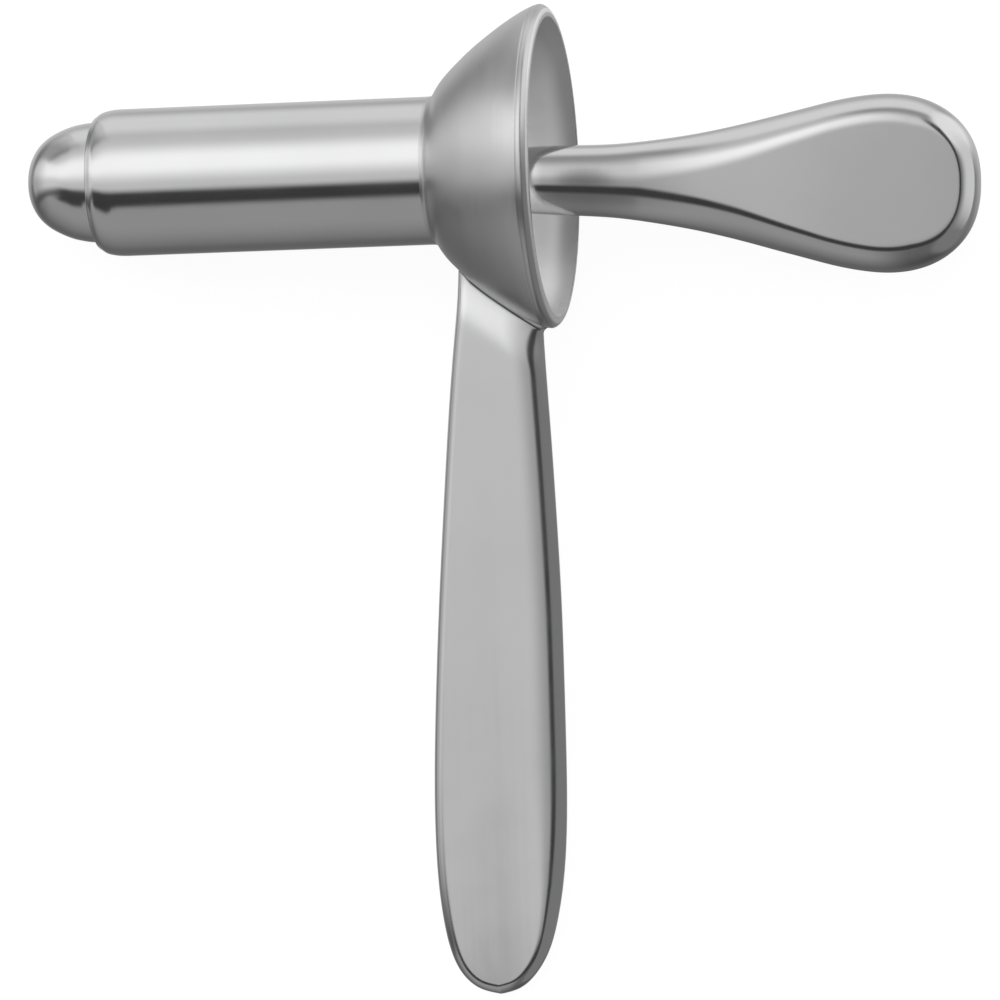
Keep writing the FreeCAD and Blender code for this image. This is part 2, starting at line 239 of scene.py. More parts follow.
# ------------------------------------------------------------------ materials
def steel(name, base=0.65, rough=0.14, rough_var=0.02, scratch=0.0,
          scratch_along="v", scratch_fine=60.0, scratch_long=0.8, wave=0.0,
          wave_scale=60.0, grain=0.0, grain_scale=900.0, aniso=0.0,
          rings=0.0, ring_scale=26.0, tone=0.015):
    """Stainless steel: roughness and tone drift a little over the surface,
    with fine scratches, a slow waviness and, where wanted, turning rings."""
    m = bpy.data.materials.new(name)
    m.use_nodes = True
    nt = m.node_tree
    nt.nodes.clear()
    N, L = nt.nodes.new, nt.links.new
    out = N("ShaderNodeOutputMaterial")
    b = N("ShaderNodeBsdfPrincipled")
    L(b.outputs["BSDF"], out.inputs["Surface"])
    b.inputs["Metallic"].default_value = 1.0
    b.inputs["Specular IOR Level"].default_value = 0.5
    uv = N("ShaderNodeUVMap")
    uv.uv_map = "UVMap"
    obj = N("ShaderNodeTexCoord")

    def noise(vec, scale, detail=2.0, rough_=0.5):
        n = N("ShaderNodeTexNoise")
        n.inputs["Scale"].default_value = scale
        n.inputs["Detail"].default_value = detail
        n.inputs["Roughness"].default_value = rough_
        L(vec, n.inputs["Vector"])
        return n.outputs["Fac"]

    def mapped(vec, sx, sy, sz=1.0):
        mp = N("ShaderNodeMapping")
        mp.inputs["Scale"].default_value = (sx, sy, sz)
        L(vec, mp.inputs["Vector"])
        return mp.outputs["Vector"]

    def rng(fac, lo, hi, a=0.3, z=0.7):
        r = N("ShaderNodeMapRange")
        r.inputs["From Min"].default_value = a
        r.inputs["From Max"].default_value = z
        r.inputs["To Min"].default_value = lo
        r.inputs["To Max"].default_value = hi
        L(fac, r.inputs["Value"])
        return r.outputs["Result"]

    # tone
    drift = noise(obj.outputs["Object"], 55.0, 3.0)
    mix = N("ShaderNodeMix")
    mix.data_type = "RGBA"
    lo, hi = base - tone, base + tone
    mix.inputs["A"].default_value = (lo, lo, lo * 1.004, 1)
    mix.inputs["B"].default_value = (hi, hi, hi * 1.004, 1)
    L(rng(drift, 0.0, 1.0), mix.inputs["Factor"])
    L(mix.outputs["Result"], b.inputs["Base Color"])

    # directions for the scratches
    if scratch_along == "v":
        stretch = (scratch_fine, scratch_long, 1)
    else:
        stretch = (scratch_long, scratch_fine, 1)
    fine = noise(mapped(uv.outputs["UV"], *stretch), 1.0, 3.0, 0.6)
    coarse = noise(mapped(uv.outputs["UV"], stretch[0] * 0.3,
                          stretch[1] * 0.3), 1.0, 2.0, 0.5)

    # roughness
    r1 = rng(noise(obj.outputs["Object"], 140.0, 2.0),
             rough - rough_var, rough + rough_var)
    add = N("ShaderNodeMath")
    add.operation = "MULTIPLY_ADD"
    L(rng(coarse, -1.0, 1.0), add.inputs[0])
    add.inputs[1].default_value = rough_var * 0.8
    L(r1, add.inputs[2])
    L(add.outputs[0], b.inputs["Roughness"])

    # relief
    last = None

    def bump(height, strength, dist):
        nonlocal last
        n = N("ShaderNodeBump")
        n.inputs["Strength"].default_value = strength
        n.inputs["Distance"].default_value = dist
        L(height, n.inputs["Height"])
        if last is not None:
            L(last, n.inputs["Normal"])
        last = n.outputs["Normal"]

    if wave:
        bump(noise(obj.outputs["Object"], wave_scale, 1.0), 1.0, wave)
    if scratch:
        bump(fine, 1.0, scratch)
    if grain:
        bump(noise(obj.outputs["Object"], grain_scale, 2.0), 1.0, grain)
    if rings:
        w = N("ShaderNodeTexWave")
        w.wave_type = "BANDS"
        w.bands_direction = "Y"
        w.wave_profile = "SIN"
        w.inputs["Scale"].default_value = ring_scale
        w.inputs["Distortion"].default_value = 0.6
        w.inputs["Detail"].default_value = 2.0
        w.inputs["Detail Scale"].default_value = 0.4
        L(uv.outputs["UV"], w.inputs["Vector"])
        bump(w.outputs["Fac"], 1.0, rings)
    if last is not None:
        L(last, b.inputs["Normal"])
    if aniso:
        b.inputs["Anisotropic"].default_value = aniso
        t = N("ShaderNodeTangent")
        t.direction_type = "UV_MAP"
        t.uv_map = "UVMap"
        L(t.outputs["Tangent"], b.inputs["Tangent"])
    return m


steel_tube = steel("steel_tube", rough=0.12, scratch=0.8e-6, scratch_fine=50,
                   scratch_long=1.2, wave=2e-6)
steel_bore = steel("steel_bore", base=0.55, rough=0.28)
steel_funnel = steel("steel_funnel", base=0.61, rough=0.31, rough_var=0.03,
                     scratch=3e-6, scratch_along="u", scratch_fine=40,
                     scratch_long=0.8)
steel_handle = steel("steel_handle", rough=0.15, scratch=0.5e-6,
                     scratch_along="v", scratch_fine=40, scratch_long=0.7)
steel_tip = steel("steel_tip", rough=0.13, wave=1e-6)
steel_grip = steel("steel_grip", rough=0.12, wave=1.5e-6)

# ----------------------------------------------------------------------- tube
tube_r, bore_r, lip_r, socket_r = 11.11, 10.30, 9.60, 10.80
tip_x, lip_back_x, seam_x = -69.85, -68.65, -17.85
throat_x, end_in_x = -16.36380173309594, -16.63880173309594
tube_profile = chain(
    spline([(-65.8, tube_r), (-67.0, 11.05), (-68.0, 10.90), (-68.9, 10.61),
            (-69.5, 10.20), (tip_x, 9.85), (-69.80, 9.69), (-69.55, lip_r)],
           0.08),
    straight((-69.55, lip_r), (lip_back_x, lip_r), 0.3),
    straight((lip_back_x, lip_r), (lip_back_x + 0.25, bore_r), 0.3),
    straight((lip_back_x + 0.25, bore_r), (end_in_x, bore_r), 2.0),
    straight((end_in_x, bore_r), (throat_x, socket_r), 0.4),
    straight((throat_x, socket_r), (seam_x, socket_r), 0.8),
    straight((seam_x, socket_r), (seam_x, tube_r), 0.4),
    straight((seam_x, tube_r), (-65.8, tube_r), 1.0))[:-1]
tube = turn("tube_polished", tube_profile, on_tube, steel_tube,
            u_radius=tube_r)

# --------------------------------------------------------------------- funnel
cup = [(-17.85, 11.11), (-17.60, 11.52), (-17.30, 12.03), (-16.95, 12.58),
       (-16.50, 13.21), (-16.00, 13.83), (-15.00, 14.88), (-13.00, 16.74),
       (-11.00, 18.42), (-9.00, 19.90), (-7.00, 21.28), (-5.00, 22.53),
       (-3.00, 23.60), (-1.25, 24.35)]
inner = []
for i, (x, r) in enumerate(cup):
    a, b = cup[max(i - 1, 0)], cup[min(i + 1, len(cup) - 1)]
    tx, tr = b[0] - a[0], b[1] - a[1]
    q = math.hypot(tx, tr)
    inner.append((x + 1.45 * tr / q, r - 1.45 * tx / q))
inner[-1] = (0.0, 22.42)
inner_pts = [(throat_x, socket_r)] + [p for p in inner if p[1] > tube_r + 0.4]
# the joint with the tube is worked smooth: a small hollow instead of a corner
cup_line = spline([(-18.55, 11.112), (-18.15, 11.16), (-17.82, 11.33),
                   (-17.50, 11.70)] + cup[2:-1]
                  + [(-1.90, 24.07)], 0.12)
# a fine turned line sets off the band of the rim
cup_line = np.vstack([cup_line, [(-1.78, 24.085), (-1.70, 24.03),
                                 (-1.62, 24.03), (-1.54, 24.16)]])
lip_line = spline([(-1.54, 24.16), (-1.10, 24.22), (-0.62, 23.98),
                   (-0.22, 23.50), (0.0, 22.85)], count=22)
funnel_profile = chain(
    cup_line, lip_line[1:],
    ease([(0.0, 22.85), (0.0, 22.42), (-0.03, 22.30)],
         [(0.0, 22.42)], [0.10], 4),
    spline(list(reversed(inner_pts)), 0.15)[1:],
    straight((throat_x, socket_r), (seam_x, socket_r), 0.8),
    straight((seam_x, socket_r), (seam_x, tube_r), 0.4),
    straight((seam_x, tube_r), (-18.55, 11.112), 0.4))[:-1]
funnel = turn("funnel_satin", funnel_profile, on_tube, steel_funnel,
              segs=360, u_radius=20.0, sharp=30)

# the inside is turned, with fine rings and a rougher satin; its paler colour is
# painted light that brightens the inside of the cup
inside_steel_painted_light = steel("steel_inside_painted_light", base=0.93, rough=0.42, rough_var=0.03,
                     rings=2.5e-6, ring_scale=30.0)
funnel.data.materials.append(inside_steel_painted_light)
# faces inside the cup take this paler steel: painted light on the inside wall
mid_ = np.empty(len(funnel.data.polygons) * 3)
funnel.data.polygons.foreach_get("center", mid_)
mid_ = (mid_.reshape(-1, 3) * 1000 - SHIFT) @ LAY
mid_r = np.hypot(mid_[:, 1], mid_[:, 2])
wall_r = np.interp(mid_[:, 0], [c[0] for c in cup], [c[1] for c in cup])
is_in = (mid_r < wall_r - 0.75) & (mid_[:, 0] > -16.3) & (mid_[:, 0] < -0.02)
funnel.data.polygons.foreach_set("material_index", is_in.astype(np.int32))

# --------------------------------------------------------------------- handle
handle_left = [
    (-14.90, -11.0), (-15.20, -15.6), (-15.50, -19.6), (-15.98, -23.6),
    (-16.79, -30.0), (-17.77, -39.0), (-18.64, -48.0), (-19.48, -57.1),
    (-20.26, -66.1), (-20.96, -75.2), (-21.57, -84.3), (-22.02, -93.4),
    (-22.15, -100.5), (-22.00, -107.0), (-21.50, -112.5), (-20.60, -117.3),
    (-19.10, -120.9), (-16.40, -123.5), (-13.00, -124.5)]
handle_right = [
    (-13.00, -124.5), (-10.00, -123.6), (-7.60, -121.5), (-5.60, -118.3),
    (-3.95, -113.2), (-2.85, -107.4), (-2.20, -101.5), (-1.80, -93.8),
    (-1.62, -84.7), (-1.52, -75.7), (-1.48, -66.6), (-1.60, -57.6),
    (-1.82, -48.5), (-2.10, -39.5), (-2.44, -30.5), (-2.58, -25.5),
    (-2.65, -19.0)]
H = 2.5                    # half thickness of the blade
EDGE_L, EDGE_R = 2.0, 6.1  # width of the rounded borders
NPSI = 18
JOIN_Y = -34.0             # the root is laid out in rows above this
FILLET = 0.9

left_line = spline(handle_left, count=1400)
right_line = spline(handle_right, count=1400)
outline = np.vstack([left_line, right_line[1:]])


def edge_x(line, y):
    o = np.argsort(line[:, 1])
    return np.interp(y, line[o, 1], line[o, 0])


def smooth(t):
    t = np.clip(t, 0, 1)
    return t * t * (3 - 2 * t)


psi = np.linspace(0, math.pi / 2, NPSI + 1)

# border rows: along the outline from JOIN_Y on the left round to JOIN_Y right
ys = np.linspace(JOIN_Y, -108.0, 38)
left_pts = np.c_[edge_x(left_line, ys), ys]
end = outline[(outline[:, 1] < -108.0)]
end_run = np.r_[0, np.cumsum(np.hypot(*(end[1:] - end[:-1]).T))]
want = np.linspace(0, end_run[-1], 120)[1:-1]
end_pts = np.c_[np.interp(want, end_run, end[:, 0]),
                np.interp(want, end_run, end[:, 1])]
right_pts = np.c_[edge_x(right_line, ys[::-1]), ys[::-1]]
rail = np.vstack([left_pts, end_pts, right_pts])
tang = np.gradient(rail, axis=0)
for _ in range(6):
    tang[1:-1] = (tang[:-2] + 2 * tang[1:-1] + tang[2:]) / 4
tang /= np.linalg.norm(tang, axis=1)[:, None]
inward = np.c_[-tang[:, 1], tang[:, 0]]
mid = np.array([-12.0, -80.0])
inward *= np.sign(np.sum(inward * (np.c_[np.full(len(rail), -12.0),
                                         np.clip(rail[:, 1], -112, 0)]
                                   - rail), axis=1))[:, None]
blend = smooth((-60.0 - rail[:, 1]) / 40.0)
inward[:, 1] *= blend
inward /= np.linalg.norm(inward, axis=1)[:, None]
along = np.r_[0, np.cumsum(np.hypot(*(rail[1:] - rail[:-1]).T))]
# the broad border runs up the near side and fades out round the end
bottom = int(np.argmin(rail[:, 1]))
f_side = smooth((along - along[bottom] - 5.0) / 34.0)
width = EDGE_L + (EDGE_R - EDGE_L) * f_side
f_end = np.exp(-((along - along[bottom]) / 10.0) ** 2)
width = width * (1 - f_end) + 1.7 * f_end

hv, huv, hf = [], [], []


def hadd(x, y, z):
    hv.append((x, y, z))
    huv.append((x / 10 + (30 if z < 0 else 0), y / 10))
    return len(hv) - 1


n_rail = len(rail)
# ring[i][j] for j = -NPSI .. NPSI (back inner ring ... edge ... front inner)
ring = []
for i in range(n_rail):
    row_ = []
    for j in range(-NPSI, NPSI + 1):
        c, s = math.cos(abs(j) / NPSI * math.pi / 2), \
            math.sin(abs(j) / NPSI * math.pi / 2)
        p = rail[i] + width[i] * (1 - c) * inward[i]
        row_.append(hadd(p[0], p[1], H * s * (1 if j > 0 else -1)))
    ring.append(row_)
for i in range(n_rail - 1):
    for j in range(2 * NPSI):
        hf.append((ring[i][j], ring[i + 1][j], ring[i + 1][j + 1],
                   ring[i][j + 1]))


# root block: at a given y, the loop round the section
NF = 26


def section(y, k_only=None):
    """Loop of (x, z, nx, nz, dx/dy) round the blade at each given y."""
    xl, xr = edge_x(left_line, y), edge_x(right_line, y)
    dl = (edge_x(left_line, y + 0.2) - edge_x(left_line, y - 0.2)) / 0.4
    dr = (edge_x(right_line, y + 0.2) - edge_x(right_line, y - 0.2)) / 0.4
    rows = []

    def side(x0, w, sgn, sl, top, js):
        for j in js:
            a = j / NPSI * math.pi / 2
            c, s = math.cos(a), math.sin(a)
            nx, nz = sgn * c / w, s / H * (1 if top else -1)
            q = math.hypot(nx, nz)
            rows.append((x0 - sgn * w * (1 - c), H * s * (1 if top else -1),
                         nx / q, nz / q, sl))

    full = list(range(NPSI + 1))
    # front flat, left to right, ends excluded
    fr = np.arange(1, NF) / NF
    side(xl, EDGE_L, -1, dl, True, full)          # left edge up to the front
    for f in fr:
        rows.append((xl + EDGE_L + (xr - EDGE_R - xl - EDGE_L) * f, H,
                     0.0, 1.0, dl + (dr - dl) * f))
    side(xr, EDGE_R, 1, dr, True, full[::-1])      # front down to right edge
    side(xr, EDGE_R, 1, dr, False, full[1:])       # right edge to the back
    for f in fr[::-1]:
        rows.append((xl + EDGE_L + (xr - EDGE_R - xl - EDGE_L) * f, -H,
                     0.0, -1.0, dl + (dr - dl) * f))
    side(xl, EDGE_L, -1, dl, False, full[1:][::-1])  # back to left edge
    return np.array(rows)


KL = len(section(-30.0))
table_y = np.linspace(-40.0, -12.0, 281)
table = np.array([section(y) for y in table_y])     # (ny, K, 5)


def sec(k, y):
    """Interpolated loop entries, one y per k."""
    f = (y - table_y[0]) / (table_y[1] - table_y[0])
    i = np.clip(f.astype(int), 0, len(table_y) - 2)
    g = (f - i)[:, None]
    return table[i, k] * (1 - g) + table[i + 1, k] * g


shell = np.vstack([cup_line, lip_line[1:]])
seg_a, seg_b = shell[:-1], shell[1:]
seg_d = seg_b - seg_a
seg_l2 = np.sum(seg_d ** 2, axis=1)
seg_n = np.c_[-seg_d[:, 1], seg_d[:, 0]] / np.sqrt(seg_l2)[:, None]
if seg_n[len(seg_n) // 2, 1] < 0:
    seg_n = -seg_n


def to_cup(P):
    """Signed distance to the cup's outside, nearest point and normal."""
    r = np.hypot(P[:, 1], P[:, 2])
    q = np.c_[P[:, 0], r]
    t = np.clip(((q[:, None] - seg_a) * seg_d).sum(-1) / seg_l2, 0, 1)
    near = seg_a + t[..., None] * seg_d
    d = np.linalg.norm(q[:, None] - near, axis=-1)
    i = d.argmin(1)
    ar = np.arange(len(q))
    near = near[ar, i]
    v = q - near
    sg = np.sign((v * seg_n[i]).sum(1))
    sg[sg == 0] = 1
    dd = d[ar, i] * sg
    n2 = np.where(d[ar, i][:, None] > 1e-6, v / np.maximum(
        d[ar, i], 1e-9)[:, None] * sg[:, None], seg_n[i])
    cy, cz = P[:, 1] / r, P[:, 2] / r
    n3 = np.c_[n2[:, 0], n2[:, 1] * cy, n2[:, 1] * cz]
    p3 = np.c_[near[:, 0], near[:, 1] * cy, near[:, 1] * cz]
    return dd, p3, n3


ks = np.arange(KL)


def surf(y):
    q = sec(ks, y)
    p = np.c_[q[:, 0], y, q[:, 1]]
    n = np.c_[q[:, 2], -q[:, 2] * q[:, 4], q[:, 3]]
    n /= np.linalg.norm(n, axis=1)[:, None]
    return p, n


lo_y, hi_y = np.full(KL, -39.0), np.full(KL, -13.0)
for _ in range(45):
    m_y = (lo_y + hi_y) / 2
    p, n = surf(m_y)
    d, _, _ = to_cup(p + FILLET * n)
    out_ = d > FILLET
    lo_y = np.where(out_, m_y, lo_y)
    hi_y = np.where(out_, hi_y, m_y)
ty = (lo_y + hi_y) / 2
p_h, n_h = surf(ty)
centre = p_h + FILLET * n_h
_, p_c, n_c = to_cup(centre)

# rows from JOIN_Y up to the fillet, the fillet, and a tuck into the wall
loops = []
NR = 14
for r in range(1, NR + 1):
    f = r / NR
    y = JOIN_Y + (ty - JOIN_Y) * f
    p, n = surf(y)
    loops.append(p)
NA = 9
cosang = np.clip((n_h * n_c).sum(1), -1, 1)
ang = np.arccos(cosang)
for r in range(1, NA + 1):
    f = r / NA
    w0 = np.sin((1 - f) * ang) / np.sin(ang)
    w1 = np.sin(f * ang) / np.sin(ang)
    loops.append(centre - FILLET * (w0[:, None] * n_h + w1[:, None] * n_c))
loops.append(p_c - 0.8 * n_c)

# loop at JOIN_Y shares the ring's vertices; the flat's row is new
first, last = ring[0], ring[-1]
loop0 = [first[NPSI + j] for j in range(NPSI + 1)]
q0 = section(JOIN_Y)
flat_front = []
for k in range(NPSI + 1, NPSI + 1 + NF - 1):
    flat_front.append(hadd(q0[k, 0], JOIN_Y, H))
loop0 += flat_front
loop0 += [last[NPSI + j] for j in range(NPSI, -1, -1)]
loop0 += [last[NPSI - j] for j in range(1, NPSI + 1)]
flat_back = []
k_back = len(loop0)
for k in range(k_back, k_back + NF - 1):
    flat_back.append(hadd(q0[k, 0], JOIN_Y, -H))
loop0 += flat_back
loop0 += [first[NPSI - j] for j in range(NPSI, 0, -1)]
prev = loop0
for P in loops:
    cur = [hadd(*p) for p in P]
    for k in range(KL):
        k2 = (k + 1) % KL
        hf.append((prev[k], prev[k2], cur[k2], cur[k]))
    prev = cur
cap = hadd(-9.0, -math.sqrt((19.72 - 0.9) ** 2), 0.0)
for k in range(KL):
    hf.append((prev[k], prev[(k + 1) % KL], cap))
# the two flats
hf.append(tuple([ring[i][2 * NPSI] for i in range(n_rail)]
                + flat_front[::-1]))
hf.append(tuple(reversed([ring[i][0] for i in range(n_rail)]
                         + flat_back)))
# the faces are polished down a little next to the funnel
hv = np.array(hv)
gone = np.clip((-14.7 - 0.73 * (hv[:, 0] + 15.0)) - hv[:, 1], 0, 9)
hv[:, 2] *= 1 - 0.36 * (1 - smooth(gone / 8.0)) * (hv[:, 1] > JOIN_Y + 0.01)
handle = make("handle_blade", on_tube(hv), hf, huv, steel_handle, sharp=50)

# ------------------------------------------------------------------ obturator
apex_s, shoulder_s, band_end_s, guide_end_s = -81.39, -67.83, -65.45, -58.0
guide_r, guide_end_r, recess_r = 9.75, 8.20, 6.60
spigot_r, stem_r = 2.4, 2.75
plate_s, plate_t, pocket_r = -61.4, 3.0, 3.2
neck_s = -14.36
nose = [(0.00, 0.00), (0.31, 2.45), (0.78, 3.79), (1.66, 5.27), (2.61, 6.27),
        (3.51, 6.96), (4.49, 7.52), (5.37, 7.94), (6.30, 8.31), (7.23, 8.61),
        (8.11, 8.80), (9.04, 8.96), (10.06, 9.06), (11.34, 9.12),
        (12.46, 9.14)]
nose_line = spline([(apex_s + d, r) for d, r in nose], 0.15)
nose_line[0] = (apex_s, 0.0)
tip_profile = chain(
    nose_line,
    straight((apex_s + 12.46, 9.14), (shoulder_s, 9.14), 0.3),
    straight((shoulder_s, 9.14), (shoulder_s, guide_r - 0.1), 0.3),
    straight((shoulder_s, guide_r - 0.1), (shoulder_s + 0.1, guide_r), 0.3),
    straight((shoulder_s + 0.1, guide_r), (band_end_s, guide_r), 0.8),
    straight((band_end_s, guide_r), (guide_end_s, guide_end_r), 1.0),
    straight((guide_end_s, guide_end_r), (guide_end_s, recess_r), 0.6),
    straight((guide_end_s, recess_r), (plate_s, recess_r), 1.2),
    straight((plate_s, recess_r), (plate_s, pocket_r), 1.5),
    straight((plate_s, pocket_r), (plate_s - 1.5, pocket_r), 0.8),
    straight((plate_s - 1.5, pocket_r), (plate_s - 1.5, 0.0), 1.0))
tip = turn("obturator_dome", tip_profile, on_obturator, steel_tip,
           u_radius=guide_r, sharp=30)

plate_profile = chain(
    straight((plate_s, spigot_r + 0.02), (plate_s, recess_r), 1.5),
    straight((plate_s, recess_r), (plate_s + plate_t, recess_r), 1.0),
    straight((plate_s + plate_t, recess_r),
             (plate_s + plate_t, spigot_r + 0.02), 1.5),
    straight((plate_s + plate_t, spigot_r + 0.02),
             (plate_s, spigot_r + 0.02), 1.0))[:-1]
plate = turn("obturator_plate", plate_profile, on_obturator, steel_bore,
             segs=128, u_radius=6.6, sharp=30)

spigot_s, plate_end = plate_s - 1.0, plate_s + plate_t + 0.1
stem_end = neck_s + 9.0
stem_profile = chain(
    straight((spigot_s, 0.0), (spigot_s, spigot_r - 0.3), 1.0),
    straight((spigot_s, spigot_r - 0.3), (spigot_s + 0.3, spigot_r), 0.3),
    straight((spigot_s + 0.3, spigot_r), (plate_end, spigot_r), 1.0),
    straight((plate_end, spigot_r), (plate_end, stem_r), 0.3),
    straight((plate_end, stem_r), (stem_end, stem_r), 1.5),
    straight((stem_end, stem_r), (stem_end, 0.0), 1.0))
stem = turn("obturator_rod", stem_profile, on_obturator, steel_tip,
            segs=96, u_radius=stem_r, sharp=30)

# paddle: outline, parallel borders and flats
paddle = [(-14.36, 4.13), (-10.38, 4.54), (-5.41, 5.01), (-0.42, 5.27),
          (2.68, 5.37), (6.97, 5.56), (11.18, 5.99), (15.39, 6.58),
          (19.60, 7.29), (23.82, 8.17), (28.04, 9.19), (32.26, 10.30),
          (36.50, 11.41), (40.63, 12.47), (44.77, 13.24), (48.82, 13.56),
          (53.17, 13.07), (56.51, 11.81), (59.15, 9.92), (60.98, 7.74),
          (62.09, 5.50), (62.65, 3.38), (62.89, 1.62)]
paddle_end, half_t = 62.94, 5.1
border_at = np.array([     # s, width of the rounded border
    (12.0, 5.95), (16.0, 5.95), (20.0, 5.90), (25.0, 5.70), (32.0, 5.05),
    (38.0, 4.65), (46.0, 4.60), (53.0, 4.75), (58.0, 4.30),
    (63.0, 3.90)])
sag_at = np.array([        # s, how far the grip bends from the stem's line
    (-14.4, 0.0), (-9.0, 0.0), (-6.0, -0.105), (-3.0, -0.45), (0.0, -1.005),
    (5.0, -2.03), (8.7, -2.733), (10.5, -3.026), (14.0, -3.451),
    (17.7, -3.745), (21.3, -3.912), (30.0, -4.203), (40.0, -4.623),
    (48.0, -5.063), (56.0, -5.571), (63.0, -6.082)])
sag_line = spline(sag_at, 0.25)
lift_at = np.array([       # s, how far the grip stands off it sideways
    (-14.4, 0.26), (-4.0, 0.39), (10.0, 0.36), (22.0, 0.26), (32.0, 0.17),
    (48.0, 0.15), (63.0, 0.19)])
half = [p for p in paddle] + [(paddle_end, 0.0)]
mirror = [(s, -w) for s, w in reversed(paddle)]
whole = spline(half + mirror, count=2401)
run = np.r_[0, np.cumsum(np.hypot(*(whole[1:] - whole[:-1]).T))]
# closer together round the end
dens = np.interp(whole[:, 0], [-14, 45, 55, 63], [1.0, 1.0, 2.2, 2.6])
cum = np.r_[0, np.cumsum((dens[1:] + dens[:-1]) / 2 * np.diff(run))]
NP = 360
at = np.interp(np.linspace(0, cum[-1], NP + 1), cum, run)
edge = np.c_[np.interp(at, run, whole[:, 0]), np.interp(at, run, whole[:, 1])]
edge = (edge + edge[::-1] * [1, -1]) / 2          # exactly symmetric
tan_ = np.gradient(edge, axis=0)
tan_ /= np.linalg.norm(tan_, axis=1)[:, None]
nin = np.c_[tan_[:, 1], -tan_[:, 0]]
nin[0] = (0, -1)
nin[-1] = (0, 1)
w_at = np.abs(edge[:, 1])
neckish = edge[:, 0] < 30
# inset measured along the inward normal until the middle line is met
reach = np.where(neckish, w_at / np.maximum(np.abs(nin[:, 1]), 0.3), 1e9)
border = np.interp(edge[:, 0], border_at[:, 0], border_at[:, 1])
inset = np.minimum(border, reach)
wide = np.where(edge[:, 0] > 30, 1.0, smooth((w_at - 5.3) / 4.0))
power = 2.0 + 0.47 * wide
root = 0.5 + (1 / 1.2 - 0.5) * wide
thick = np.minimum(half_t, np.where(neckish, w_at, 1e9))
NB = 34
pv, puv, pf = [], [], []


def padd(s, a, b):
    sag = float(np.interp(s, sag_line[:, 0], sag_line[:, 1]))
    lift = float(np.interp(s, lift_at[:, 0], lift_at[:, 1]))
    pv.append((s, a + 0.0684 * sag + lift, b + sag))
    puv.append((s / 10 + (30 if b < 0 else 0), a / 10))
    return len(pv) - 1


prow = []
for i in range(NP + 1):
    line_ = []
    for j in range(-NB, NB + 1):
        t = abs(j) / NB
        u = math.cos(t * math.pi / 2)
        z = thick[i] * max(0.0, 1 - u ** power[i]) ** root[i]
        p = edge[i] + inset[i] * (1 - u) * nin[i]
        if abs(j) == NB:
            z = thick[i]
        line_.append(padd(p[0], p[1], z if j > 0 else -z))
    prow.append(line_)
for i in range(NP):
    for j in range(2 * NB):
        pf.append((prow[i][j], prow[i][j + 1], prow[i + 1][j + 1],
                   prow[i + 1][j]))
for i in range(NP // 2):
    m0, m1 = NP - i, NP - i - 1
    if i == NP // 2 - 1:
        pf.append((prow[i][-1], prow[m0][-1], prow[i + 1][-1]))
        pf.append((prow[i + 1][0], prow[m0][0], prow[i][0]))
        continue
    pf.append((prow[i][-1], prow[m0][-1], prow[m1][-1], prow[i + 1][-1]))
    pf.append((prow[i + 1][0], prow[m1][0], prow[m0][0], prow[i][0]))
# neck's end
neck_cap = [prow[0][j] for j in range(2 * NB + 1)] + \
    [prow[NP][j] for j in range(2 * NB, -1, -1)]
pf.append(tuple(neck_cap))
paddle_ob = make("obturator_paddle", on_obturator(pv), pf, puv, steel_grip,
                 sharp=50, cleanup=2e-7)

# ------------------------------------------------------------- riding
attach(tube, "anoscope_body")
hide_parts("tube")
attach(funnel, "anoscope_body")
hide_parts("funnel")
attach(handle, "anoscope_body")
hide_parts("handle", "handle_braze")
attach(tip, "obturator_plug")
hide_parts("obturator_tip")
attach(plate, "obturator_plug")
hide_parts("obturator_back_plate")
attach(stem, "obturator_grip")
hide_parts("obturator_stem")
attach(paddle_ob, "obturator_grip")
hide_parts("obturator_handle")

# --------------------------------------------------------------------- camera
CAM_P = np.array([149.98530024, 5.45433379, 888.83913494])
CAM_R = np.array([0.98377052, -0.04023749, -0.17486141])
CAM_U = np.array([0.02885019, 0.99732343, -0.06718368])
CAM_B = np.array([0.17709668, 0.06104854, 0.98229824])
cam_r, cam_u, cam_b = (LAY @ v for v in (CAM_R, CAM_U, CAM_B))
cam_data = bpy.data.cameras.new("camera")
cam = bpy.data.objects.new("camera", cam_data)
bpy.context.collection.objects.link(cam)
cam_data.sensor_width = 36.0
cam_data.sensor_fit = "HORIZONTAL"
cam_data.lens = 6.689582 * 900 / 1000 * 36.0
cam_data.clip_start, cam_data.clip_end = 0.05, 60.0
pos = lay([CAM_P])[0]
cam.matrix_world = Matrix((
    (cam_r[0], cam_u[0], cam_b[0], pos[0]),
    (cam_r[1], cam_u[1], cam_b[1], pos[1]),
    (cam_r[2], cam_u[2], cam_b[2], pos[2]),
    (0, 0, 0, 1)))
bpy.context.scene.camera = cam
bpy.context.scene.view_settings.view_transform = "Standard"

# ---------------------------------------------------------------------- stage


def lin(v):
    """Light level that shows as v of 255."""
    c = v / 255.0
    return c / 12.92 if c <= 0.04045 else ((c + 0.055) / 1.055) ** 2.4


def glow(name, level, diffuse=None):
    m = bpy.data.materials.new(name)
    m.use_nodes = True
    nt = m.node_tree
    nt.nodes.clear()
    o = nt.nodes.new("ShaderNodeOutputMaterial")
    e = nt.nodes.new("ShaderNodeEmission")
    e.inputs["Color"].default_value = (1, 1, 1, 1)
    e.inputs["Strength"].default_value = level
    if diffuse is None:
        nt.links.new(e.outputs[0], o.inputs["Surface"])
    else:
        d = nt.nodes.new("ShaderNodeBsdfDiffuse")
        d.inputs["Color"].default_value = (diffuse, diffuse, diffuse, 1)
        a = nt.nodes.new("ShaderNodeAddShader")
        nt.links.new(e.outputs[0], a.inputs[0])
        nt.links.new(d.outputs[0], a.inputs[1])
        nt.links.new(a.outputs[0], o.inputs["Surface"])
    return m


